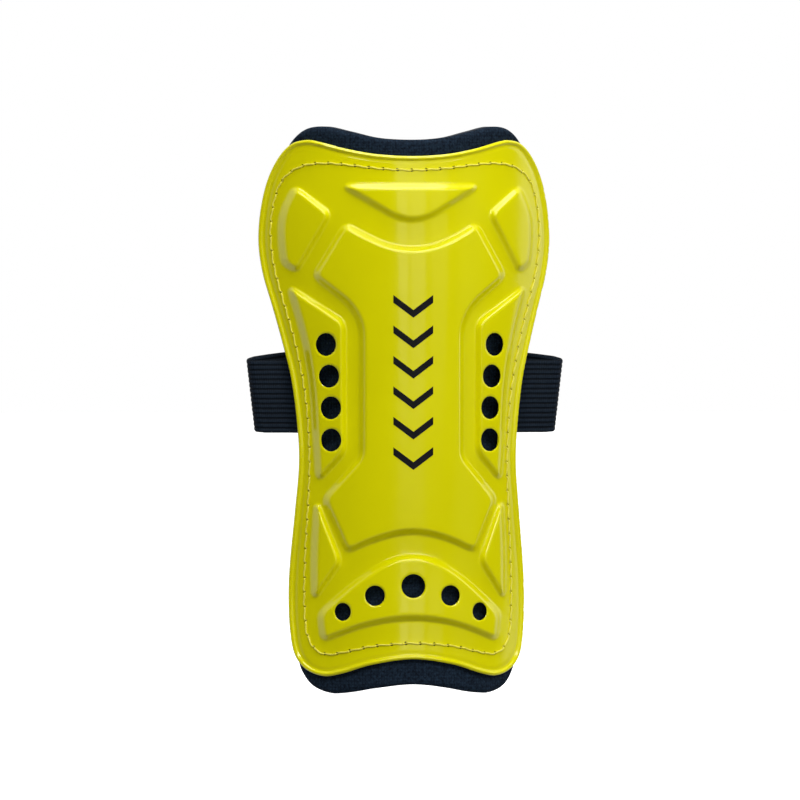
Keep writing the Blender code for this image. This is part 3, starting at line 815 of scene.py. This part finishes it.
def make_hooks(material, y_root):
    """Rows of small moulded hooks that stand out of the hook patch towards the leg."""
    left, right, top = HOOK_MARGINS
    xs = np.arange(HOOK_X[0] + left, HOOK_X[1] - right, HOOK_PITCH)
    half = PATCH_WIDTH / 2 - top
    zs = np.arange(-half, half, HOOK_PITCH) + CLOSURE_Z
    turn = np.arange(HOOK_SIDES)[None, :, None] * 2 * math.pi / HOOK_SIDES
    bend = np.linspace(0.0, HOOK_TURN, HOOK_BENDS)
    stem = HOOK_TALL - HOOK_CURL
    reach = np.concatenate([[0.0], HOOK_CURL - HOOK_CURL * np.cos(bend)])
    rise = np.concatenate([[0.0], stem + HOOK_CURL * np.sin(bend)])
    ahead = unit(np.gradient(np.stack([reach, rise], axis=1), axis=0))
    points, faces = [], []
    for i, x in enumerate(xs):
        lean_to = 1 if i % 2 else -1
        cross = np.stack([np.zeros_like(rise), -ahead[:, 0], -lean_to * ahead[:, 1]], axis=1)
        around = np.cos(turn) * np.array([1.0, 0.0, 0.0]) + np.sin(turn) * cross[:, None]
        for z in zs:
            centre = np.stack([np.full_like(rise, x), y_root - rise, z + lean_to * reach], axis=1)
            tube = tube_faces(len(points) * len(rise) * HOOK_SIDES, len(rise), HOOK_SIDES)
            points.append((centre[:, None] + HOOK_RADIUS * around).reshape(-1, 3))
            faces += tube if lean_to < 0 else [face[::-1] for face in tube]
    return make_mesh("hook_field", np.concatenate(points), faces, material, sharp=60)


def pile(x, z):
    """Height of the uneven brushed loops above the patch's base."""
    coarse = np.sin(x * 5.1 + 2.0 * np.sin(z * 3.3)) * np.sin(z * 5.7 + 2.0 * np.sin(x * 2.9))
    fine = np.sin(x * 11.3 + z * 7.9) * np.sin(z * 12.1 - x * 6.3)
    return PILE_TALL * (0.45 + 0.3 * coarse + 0.2 * fine)


def make_patches(hook, loop, dark):
    tab_front = CLOSURE_Y + LAYER_STEP - STRAP_THICK / 2
    base = box_patch("hook_patch_base", HOOK_X, tab_front - HOOK_BASE, tab_front - PATCH_LIFT, hook)
    finish_piece(base, "tab", "black_hook", "hook_patch")
    finish_piece(make_hooks(hook, tab_front - HOOK_BASE + HOOK_SUNK), "tab", "black_hook")
    band_rear = CLOSURE_Y + STRAP_THICK / 2
    loops = box_patch("loop_patch_pile", LOOP_X, band_rear + PILE_BASE, band_rear + PATCH_LIFT, loop,
                      step=PILE_STEP, raised=pile)
    finish_piece(loops, "right_band", "black_loop", "loop_patch")
    for tag, span, y, out, body in (
        ("hook", HOOK_X, CLOSURE_Y + LAYER_STEP + STRAP_THICK / 2, 1, "tab"),
        ("loop", LOOP_X, CLOSURE_Y - STRAP_THICK / 2, -1, "right_band"),
    ):
        place, length = box_seam(span, y, out)
        count = round(length / BOX_STITCH_PITCH)
        stitches = make_stitches(f"{tag}_patch_stitches", place, count, BOX_STITCH_PITCH, dark,
                                 dive=0.5, lift=0.12)
        finish_piece(stitches, body, "dark_thread", f"{tag}_patch_thread")


def box_seam(span, y, out):
    """A rectangular seam on the closure's flat face: out is +1 on the rear face, -1 on the leg's side."""
    half = PATCH_WIDTH / 2 - STITCH_MARGIN
    left, right = span[0] + STITCH_MARGIN, span[1] - STITCH_MARGIN
    corners = np.array([(left, -half), (right, -half), (right, half), (left, half), (left, -half)], float)
    run = run_along(corners)

    def place(share, height, _):
        at = (share % 1.0) * run[-1]
        x, z = (np.interp(at, run, corners[:, i]) for i in range(2))
        return np.stack([x, y + out * height, z + CLOSURE_Z], axis=-1)

    return place, run[-1]


# ---- materials ----
# Noise takes its scale per metre, detail and roughness, and a bump its strength and distance in metres

def new_material(name, colour, roughness, **inputs):
    """A Principled material. The inputs are constant shader sockets, with _ for spaces."""
    material = bpy.data.materials.new(name)
    material.use_nodes = True
    shader = material.node_tree.nodes["Principled BSDF"]
    shader.inputs["Base Color"].default_value = (*colour, 1.0)
    shader.inputs["Roughness"].default_value = roughness
    for socket, value in inputs.items():
        shader.inputs[socket.replace("_", " ")].default_value = value
    return material, material.node_tree, shader


def add_node(tree, kind, output, inputs, **settings):
    """Output of a new node. Each input is a socket to link, or a value."""
    made = tree.nodes.new("ShaderNode" + kind)
    for key, value in settings.items():
        setattr(made, key, value)
    for key, value in inputs.items():
        if isinstance(value, bpy.types.NodeSocket):
            tree.links.new(value, made.inputs[key])
        else:
            made.inputs[key].default_value = value
    return made.outputs[output]


def coordinates(tree, source="Object", scale=(1.0, 1.0, 1.0)):
    """Texture coordinates from one output, scaled."""
    place = add_node(tree, "TexCoord", source, {})
    return add_node(tree, "Mapping", "Vector", {"Vector": place, "Scale": scale})


def spread(tree, value, low, high, source=(0.0, 1.0)):
    """A value's source range mapped to low..high."""
    return add_node(tree, "MapRange", "Result", {
        "Value": value, "From Min": source[0], "From Max": source[1], "To Min": low, "To Max": high})


def noise(tree, vector, scale, detail=2.0, roughness=0.5):
    return add_node(tree, "TexNoise", "Fac", {
        "Vector": vector, "Scale": scale, "Detail": detail, "Roughness": roughness})


# The period, in texture units, of a wave texture whose scale is 1
WAVE_PERIOD = math.pi / 10
# The elastic's weave: a weft thread's width in millimetres, and warp threads to a rib
WEFT_PITCH, WARPS_PER_RIB = 0.85, 3.0


def wave(tree, vector, scale, direction, distortion=0.0, detail_scale=1.0):
    return add_node(tree, "TexWave", "Fac", {
        "Vector": vector, "Scale": scale, "Distortion": distortion, "Detail": 1.0,
        "Detail Scale": detail_scale}, wave_type="BANDS", bands_direction=direction)


def product(tree, a, b):
    return add_node(tree, "Math", "Value", {0: a, 1: b}, operation="MULTIPLY")


def paint(shader, value, low, high, dark, light):
    """The shader's colour: dark to light as a value goes from low to high."""
    tree = shader.id_data
    colour = add_node(tree, "ValToRGB", "Color", {"Fac": value})
    for element, position, shade in zip(colour.node.color_ramp.elements, (low, high), (dark, light)):
        element.position, element.color = position, (*shade, 1.0)
    tree.links.new(colour, shader.inputs["Base Color"])


def roughen(shader, value, low, high):
    """The shader's roughness: low to high with a value."""
    tree = shader.id_data
    tree.links.new(spread(tree, value, low, high), shader.inputs["Roughness"])


def add_bump(shader, height, strength, distance):
    """A bump on the shader, on top of any that it already has."""
    tree = shader.id_data
    inputs = {"Height": height, "Strength": strength, "Distance": distance}
    if shader.inputs["Normal"].links:
        inputs["Normal"] = shader.inputs["Normal"].links[0].from_socket
    tree.links.new(add_node(tree, "Bump", "Normal", inputs), shader.inputs["Normal"])


def yellow_plastic():
    """Glossy formed sheet: faint colour drift, orange peel and fine handling marks."""
    material, tree, shader = new_material("yellow_plastic", (0.80, 0.755, 0.0), 0.13)
    here = coordinates(tree)
    paint(shader, noise(tree, here, 22.0, 3.0), 0.3, 0.7, (0.78, 0.735, 0.0), (0.83, 0.785, 0.0))
    haze = noise(tree, here, 55.0, 4.0, 0.6)
    roughen(shader, haze, 0.09, 0.17)
    add_bump(shader, noise(tree, here, 320.0), 0.05, 0.0004)
    marks = noise(tree, coordinates(tree, scale=(900.0, 900.0, 60.0)), 1.0)
    add_bump(shader, marks, 0.03, 0.0001)
    return material


def knit(name, dark, light, scale):
    """Brushed warp knit: fine loops in columns, with a soft nap."""
    material, tree, shader = new_material(name, light, 0.85, Specular_IOR_Level=0.08)
    here = coordinates(tree)
    columns = wave(tree, here, scale, "X", 1.5, 3.0)
    courses = wave(tree, here, scale * 0.8, "Z", 2.0, 3.0)
    loops = product(tree, columns, courses)
    nap = noise(tree, here, 900.0, 4.0, 0.7)
    patchy = spread(tree, noise(tree, here, 35.0, 3.0), 0.75, 1.1)
    grain = product(tree, spread(tree, nap, 0.2, 1.1, (0.35, 0.65)), spread(tree, loops, 0.8, 1.3))
    paint(shader, product(tree, patchy, grain), 0.1, 1.0, dark, light)
    roughen(shader, nap, 0.75, 0.95)
    add_bump(shader, loops, 0.5, 0.00015)
    add_bump(shader, nap, 0.7, 0.0003)
    return material


def closed_cell_foam():
    """Cut edge of closed-cell foam: small torn cells."""
    material, tree, shader = new_material("dark_foam", (0.014, 0.018, 0.026), 0.9)
    here = coordinates(tree)
    tone = noise(tree, here, 400.0, 3.0)
    paint(shader, tone, 0.3, 0.7, (0.009, 0.012, 0.018), (0.02, 0.025, 0.034))
    roughen(shader, tone, 0.8, 0.97)
    cells = add_node(tree, "TexVoronoi", "Distance", {"Vector": here, "Scale": 1300.0})
    add_bump(shader, cells, 0.6, 0.0003)
    return material


def ribbed_elastic():
    """Woven elastic: the ribs are in the mesh, the fine weft and warp threads that cross are here, and shade
    is painted darker into the furrows between the ribs.
    """
    material, tree, shader = new_material(
        "black_elastic", (0.012, 0.018, 0.028), 0.6, Specular_IOR_Level=0.08)
    strip = coordinates(tree, "UV", (100.0, 100.0, 1.0))
    per_rib = WAVE_PERIOD * RIB_COUNT / STRAP_WIDTH
    weft = wave(tree, strip, WAVE_PERIOD / WEFT_PITCH, "X", 0.6, 2.0)
    warp = wave(tree, strip, WARPS_PER_RIB * per_rib, "Y", 0.3, 2.0)
    weave = product(tree, weft, warp)
    fuzz = noise(tree, coordinates(tree), 900.0, 3.0, 0.6)
    # Painted shade: the colour is darkened in the furrow between each pair of ribs, where shade falls.
    painted_furrow_shade = spread(tree, wave(tree, strip, per_rib, "Y"), 1.0, 0.25)
    yarn = product(tree, spread(tree, weave, 0.35, 1.0), spread(tree, fuzz, 0.5, 1.3))
    # The colour's value: the yarn's own weave and fuzz, darkened by the painted furrow shade.
    tone = product(tree, yarn, painted_furrow_shade)
    paint(shader, tone, 0.08, 0.85, (0.001, 0.003, 0.006), (0.023, 0.037, 0.061))
    roughen(shader, fuzz, 0.5, 0.75)
    add_bump(shader, weave, 0.6, 0.00018)
    add_bump(shader, fuzz, 0.3, 0.00012)
    return material


def thread(name, dark, light):
    """Twisted polyester thread: the two plies are in the mesh, and its fine fibres are here."""
    material, tree, shader = new_material(name, light, 0.5, Sheen_Weight=0.2)
    fibres = noise(tree, coordinates(tree), 2500.0, 3.0, 0.7)
    paint(shader, fibres, 0.3, 0.65, dark, light)
    roughen(shader, fibres, 0.42, 0.62)
    add_bump(shader, fibres, 0.5, 0.00006)
    return material


def moulded_hook():
    """Matt moulded nylon."""
    material, tree, shader = new_material("black_hook", (0.014, 0.014, 0.016), 0.45)
    tone = noise(tree, coordinates(tree), 250.0, 3.0)
    paint(shader, tone, 0.3, 0.7, (0.009, 0.009, 0.011), (0.02, 0.02, 0.023))
    roughen(shader, tone, 0.35, 0.55)
    add_bump(shader, noise(tree, coordinates(tree), 1500.0), 0.2, 0.0001)
    return material


def brushed_loop():
    """Deep matt pile of fine loops."""
    material, tree, shader = new_material(
        "black_loop", (0.012, 0.012, 0.015), 0.95, Sheen_Weight=0.03, Specular_IOR_Level=0.1)
    fibre = noise(tree, coordinates(tree), 1400.0, 5.0, 0.7)
    paint(shader, fibre, 0.3, 0.75, (0.003, 0.003, 0.005), (0.026, 0.027, 0.033))
    roughen(shader, fibre, 0.85, 1.0)
    add_bump(shader, fibre, 0.8, 0.0004)
    return material


def black_ink():
    """Screen-printed ink: slightly satin, with a faint uneven lay."""
    material, tree, shader = new_material("black_ink", (0.008, 0.008, 0.010), 0.4, Specular_IOR_Level=0.12)
    lay = noise(tree, coordinates(tree), 300.0, 3.0)
    paint(shader, lay, 0.3, 0.7, (0.006, 0.006, 0.008), (0.010, 0.010, 0.012))
    roughen(shader, lay, 0.35, 0.5)
    add_bump(shader, lay, 0.05, 0.0001)
    return material


# ---- stage, light and camera ----

CAMERA_AZIMUTH, CAMERA_ELEVATION = math.radians(-6.0), math.radians(1.0)
CAMERA_DISTANCE = 4.0
VIEW_WIDTH = 0.32
SENSOR = 36.0
FLOOR_HALF, FLOOR_GAP = 6.0, 0.0005
LOOK_AT = Vector((-0.0054, -0.0116, -0.001))


def make_stage():
    """A plain pale floor under the guard."""
    mesh = bpy.data.meshes.new("floor")
    low = cad_low.z - FLOOR_GAP
    corners = [(FLOOR_HALF * x, FLOOR_HALF * y, low) for x, y in ((-1, -1), (1, -1), (1, 1), (-1, 1))]
    mesh.from_pydata(corners, [], [(0, 1, 2, 3)])
    material, _, shader = new_material("pale_floor", (0.85, 0.85, 0.85), 0.9, Specular_IOR_Level=0.1)
    shader.inputs["Emission Color"].default_value = (1.0, 1.0, 1.0, 1.0)
    shader.inputs["Emission Strength"].default_value = 1.0
    mesh.materials.append(material)
    floor = add_object("floor", mesh)
    floor.visible_diffuse = floor.visible_glossy = floor.visible_shadow = False


def area_light(name, place, size, radiance, glossy=True):
    """A soft rectangular light at place, aimed at the guard's middle, bright by its radiance."""
    data = bpy.data.lights.new(name, "AREA")
    data.shape = "RECTANGLE"
    data.size, data.size_y = size
    data.energy = math.pi * size[0] * size[1] * radiance
    lamp = add_object(name, data)
    lamp.location = place
    lamp.rotation_euler = (-Vector(place)).to_track_quat("-Z", "Y").to_euler()
    lamp.visible_camera = False
    lamp.visible_glossy = glossy


def make_world():
    """White surroundings beside and behind the guard, dim in front and below, and white to the camera."""
    world = bpy.data.worlds.new("studio")
    bpy.context.scene.world = world
    world.use_nodes = True
    tree = world.node_tree
    background = tree.nodes["Background"]
    background.inputs["Color"].default_value = (1.0, 1.0, 1.0, 1.0)
    direction = add_node(tree, "TexCoord", "Generated", {})
    back, up = (add_node(tree, "SeparateXYZ", axis, {"Vector": direction}) for axis in "YZ")
    behind = spread(tree, back, 0.03, 0.75, (-0.02, 0.32))
    below = spread(tree, up, 0.0, 0.2, (0.0, -0.5))
    strength = add_node(tree, "Mix", "Result", {
        "Factor": add_node(tree, "LightPath", "Is Camera Ray", {}),
        "A": add_node(tree, "Math", "Value", {0: behind, 1: below}, operation="MAXIMUM"),
        "B": 1.0,
    }, data_type="FLOAT")
    tree.links.new(strength, background.inputs["Strength"])


def make_lights():
    area_light("key", (0.08, -1.5, 1.43), (3.0, 0.24), 12.5)
    area_light("overhead", (0.0, -0.1, 1.3), (0.9, 0.7), 5.0)
    area_light("strip_core", (-0.08, -1.6, 0.75), (0.3, 1.7), 1.2)
    area_light("strip_middle", (0.3, -1.6, 0.75), (0.45, 1.7), 0.9)
    area_light("strip_right", (0.8, -1.45, 0.75), (0.5, 1.7), 0.4)
    area_light("right_rim", (1.5, 0.25, 0.5), (0.7, 1.2), 1.0)
    area_light("front_fill", (0.1, -1.7, -0.35), (0.9, 0.9), 1.3, glossy=False)
    area_light("right_fill", (1.3, -0.9, 0.35), (0.6, 1.2), 1.2, glossy=False)


def make_camera():
    data = bpy.data.cameras.new("camera")
    data.sensor_width = SENSOR
    data.lens = SENSOR * CAMERA_DISTANCE / VIEW_WIDTH
    data.clip_start, data.clip_end = 0.05, 50.0
    camera = add_object("camera", data)
    back = Vector((
        math.sin(CAMERA_AZIMUTH) * math.cos(CAMERA_ELEVATION),
        -math.cos(CAMERA_AZIMUTH) * math.cos(CAMERA_ELEVATION),
        math.sin(CAMERA_ELEVATION),
    ))
    camera.location = LOOK_AT + CAMERA_DISTANCE * back
    camera.rotation_euler = (-back).to_track_quat("-Z", "Y").to_euler()
    bpy.context.scene.camera = camera
    bpy.context.scene.view_settings.view_transform = "Standard"


def main():
    plastic = yellow_plastic()
    face_knit = knit("navy_face_knit", (0.002, 0.004, 0.009), (0.016, 0.031, 0.054), 300.0)
    lining_knit = knit("navy_lining_knit", (0.003, 0.006, 0.012), (0.020, 0.034, 0.058), 220.0)
    dark = thread("dark_thread", (0.008, 0.009, 0.012), (0.03, 0.032, 0.04))
    yellow = thread("yellow_thread", (0.88, 0.80, 0.02), (0.96, 0.90, 0.11))
    make_shell(plastic)
    make_marks(black_ink())
    make_pad(face_knit, closed_cell_foam(), lining_knit)
    make_seam(yellow, dark)
    make_straps(ribbed_elastic())
    make_patches(moulded_hook(), brushed_loop(), dark)
    make_stage()
    make_world()
    make_lights()
    make_camera()


main()
